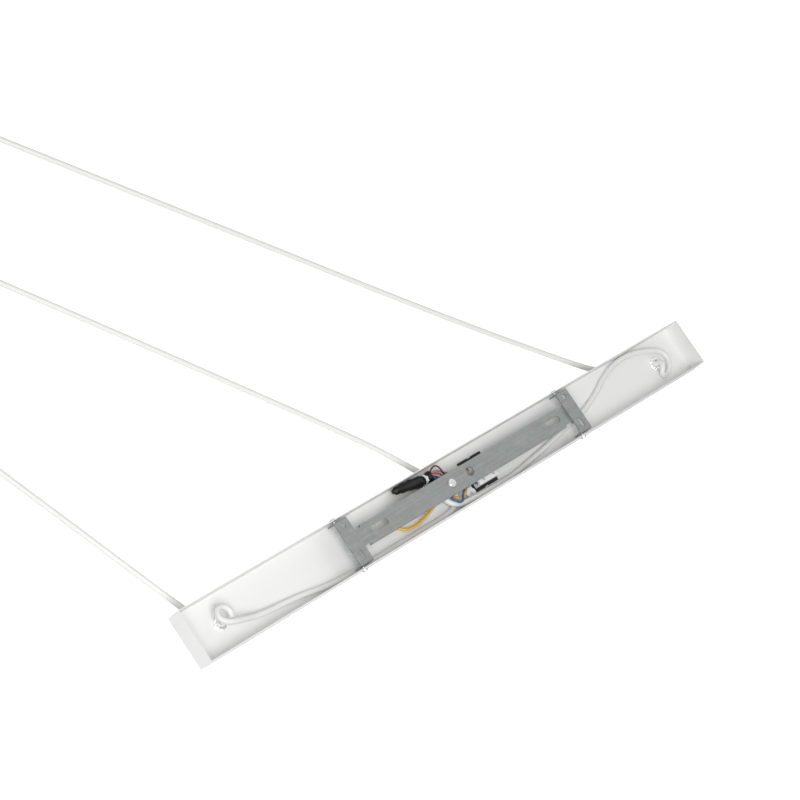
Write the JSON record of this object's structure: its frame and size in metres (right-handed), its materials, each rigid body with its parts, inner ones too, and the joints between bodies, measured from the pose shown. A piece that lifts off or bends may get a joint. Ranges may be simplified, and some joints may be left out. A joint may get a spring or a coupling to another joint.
{
  "type": "linear pendant light",
  "caption": "Long shallow steel ceiling canopy with its fixing bar and wiring, and white cords that leave it for bare lampholders, lying with its open side up.",
  "frame": {"origin": "centre of the ceiling plane, in which the canopy's rim and the bar's end plates lie", "axes": "+X along the canopy, +Y across it towards the side that the cords leave by, +Z towards the ceiling"},
  "size_m": [1.0495, 0.6683, 0.049],
  "materials": {
    "white_paint": "satin white powder coat",
    "galvanised": "galvanised sheet with lengthwise roll marks",
    "zinc": "bright zinc plate",
    "cord_white": "smooth white flexible sheath",
    "white_plastic": "moulded white plastic",
    "black_plastic": "dull black",
    "rubber_seal": "soft black rubber",
    "brass": "plain brass",
    "blue_sheath": "blue core insulation",
    "yellow_sheath": "yellow core insulation",
    "brown_sheath": "reddish brown core insulation",
    "black_sheath": "black core insulation",
    "ceramic": "glazed white ceramic",
    "holder_white": "glossy white moulding"
  },
  "bodies": {
    "canopy": {"black_wire": "black_sheath", "blue_wire": "blue_sheath", "brown_wire": "brown_sheath", "canopy_earth_lug": "zinc", "canopy_earth_nut": "zinc", "canopy_earth_stud": "zinc", "canopy_tray": "white_paint", "cord_coil_1": "cord_white", "cord_coil_2": "cord_white", "cord_coil_3": "cord_white", "cord_saddle": "white_plastic", "earth_wire": "yellow_sheath", "holder_body_1": "holder_white", "holder_body_2": "holder_white", "holder_body_3": "holder_white", "holder_cap_1": "holder_white", "holder_cap_2": "holder_white", "holder_cap_3": "holder_white", "holder_insert_1": "ceramic", "holder_insert_2": "ceramic", "holder_insert_3": "ceramic", "inner_cord_1": "cord_white", "inner_cord_2": "cord_white", "inner_cord_3": "cord_white", "lock_washers": "zinc", "outer_cord_1": "cord_white", "outer_cord_2": "cord_white", "outer_cord_3": "cord_white", "outlet_bush_1": "white_plastic", "outlet_bush_2": "white_plastic", "outlet_bush_3": "white_plastic", "outlet_seals": "rubber_seal", "ring_nuts": "zinc", "socket_sleeves": "brass", "splice_sleeve": "black_plastic", "splice_tie": "white_plastic", "terminal_base": "black_plastic", "terminal_block": "white_plastic", "terminal_screws": "zinc", "terminal_sleeves": "brass", "yellow_core": "yellow_sheath"},
    "bracket": {"crossbar": "galvanised", "earth_screw": "zinc", "bar_earth_lug": "zinc", "bar_earth_nut": "zinc"},
    "side_screw_1": {"side_screw_1": "zinc"},
    "side_screw_2": {"side_screw_2": "zinc"},
    "side_screw_3": {"side_screw_3": "zinc"},
    "side_screw_4": {"side_screw_4": "zinc"},
    "grip_cap_1": {"grip_cap_1": "white_plastic"},
    "grip_cap_2": {"grip_cap_2": "white_plastic"},
    "grip_cap_3": {"grip_cap_3": "white_plastic"},
    "shade_ring_1": {"shade_ring_1": "holder_white"},
    "shade_ring_2": {"shade_ring_2": "holder_white"},
    "shade_ring_3": {"shade_ring_3": "holder_white"},
    "centre_contact_1": {"centre_contact_1": "brass"},
    "centre_contact_2": {"centre_contact_2": "brass"},
    "centre_contact_3": {"centre_contact_3": "brass"}
  },
  "joints": [
    {"name": "bracket_lift", "type": "slide", "parent": "canopy", "child": "bracket", "axis": [0, 0, 1], "range_m": [0, 0.03]},
    {"name": "side_screw_1_out", "type": "slide", "parent": "canopy", "child": "side_screw_1", "axis": [0, -1, 0], "range_m": [0, 0.006]},
    {"name": "side_screw_2_out", "type": "slide", "parent": "canopy", "child": "side_screw_2", "axis": [0, 1, 0], "range_m": [0, 0.006]},
    {"name": "side_screw_3_out", "type": "slide", "parent": "canopy", "child": "side_screw_3", "axis": [0, -1, 0], "range_m": [0, 0.006]},
    {"name": "side_screw_4_out", "type": "slide", "parent": "canopy", "child": "side_screw_4", "axis": [0, 1, 0], "range_m": [0, 0.006]},
    {"name": "grip_cap_1_turn", "type": "hinge", "parent": "canopy", "child": "grip_cap_1", "pos_m": [-0.353, 0, -0.031], "axis": [0, 0, 1], "continuous": true},
    {"name": "grip_cap_2_turn", "type": "hinge", "parent": "canopy", "child": "grip_cap_2", "pos_m": [0, 0, -0.031], "axis": [0, 0, 1], "continuous": true},
    {"name": "grip_cap_3_turn", "type": "hinge", "parent": "canopy", "child": "grip_cap_3", "pos_m": [0.353, 0, -0.031], "axis": [0, 0, 1], "continuous": true},
    {"name": "shade_ring_1_turn", "type": "hinge", "parent": "canopy", "child": "shade_ring_1", "pos_m": [-0.61852, 0.31117, -0.0215], "axis": [-1, 0, 0], "continuous": true},
    {"name": "shade_ring_2_turn", "type": "hinge", "parent": "canopy", "child": "shade_ring_2", "pos_m": [-0.50744, 0.47173, -0.0215], "axis": [-1, 0, 0], "continuous": true},
    {"name": "shade_ring_3_turn", "type": "hinge", "parent": "canopy", "child": "shade_ring_3", "pos_m": [-0.41346, 0.61164, -0.0215], "axis": [-1, 0, 0], "continuous": true},
    {"name": "centre_contact_1_press", "type": "slide", "parent": "canopy", "child": "centre_contact_1", "axis": [1, 0, 0], "range_m": [0, 0.0012], "stiffness_N_per_m": 2000},
    {"name": "centre_contact_2_press", "type": "slide", "parent": "canopy", "child": "centre_contact_2", "axis": [1, 0, 0], "range_m": [0, 0.0012], "stiffness_N_per_m": 2000},
    {"name": "centre_contact_3_press", "type": "slide", "parent": "canopy", "child": "centre_contact_3", "axis": [1, 0, 0], "range_m": [0, 0.0012], "stiffness_N_per_m": 2000}
  ]
}
